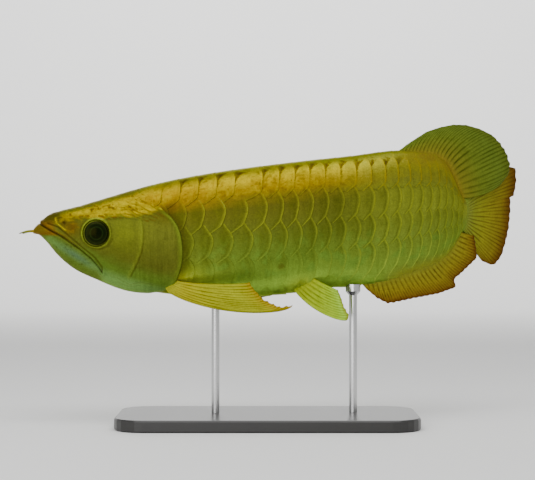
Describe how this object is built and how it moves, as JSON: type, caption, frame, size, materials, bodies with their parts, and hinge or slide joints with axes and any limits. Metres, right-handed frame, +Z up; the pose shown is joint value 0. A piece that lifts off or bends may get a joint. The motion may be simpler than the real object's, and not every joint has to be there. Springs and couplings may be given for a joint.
{
  "type": "asian arowana, life-size museum model on a display stand",
  "caption": "Life-size still model of a gold-green asian arowana swimming with its tail bent away, with scaled body, gill covers, chin barbels and rayed fins, on a flat base with two rods",
  "frame": {"origin": "centre of the underside of the stand's base, on the surface that it stands on", "axes": "+X from the fish's snout towards its tail, which is the longest extent; -Y out of the fish's left side, the one seen; +Z up. The tail bends towards +Y"},
  "size_m": [0.5136, 0.1704, 0.3031],
  "materials": {
    "scaled_skin": "wet metallic olive-gold scales with a darker middle and a lighter rim, gold towards the back and green on the belly",
    "head_skin": "smooth wet gold-green head plates",
    "jaw_skin": "smooth blue-green lower jaw with an orange-brown tip and barbels",
    "fin_skin": "thin yellow-olive fin membrane between darker rays, with brown-red margins on tail and anal fin",
    "eye": "clear glossy dark eye with a faint green ring",
    "stand": "black satin lacquer",
    "rod": "satin"
  },
  "bodies": {
    "root": {"anal_fin": "fin_skin", "barbel_left": "jaw_skin", "barbel_right": "jaw_skin", "caudal_fin": "fin_skin", "dorsal_fin": "fin_skin", "eye_left": "eye", "eye_right": "eye", "head": "head_skin", "lower_jaw": "jaw_skin", "pectoral_fin_left": "fin_skin", "pectoral_fin_right": "fin_skin", "pelvic_fin_left": "fin_skin", "pelvic_fin_right": "fin_skin", "stand_base": "stand", "stand_rod_front": "rod", "stand_rod_rear": "rod", "tail_stalk": "scaled_skin", "trunk": "scaled_skin"}
  },
  "joints": []
}
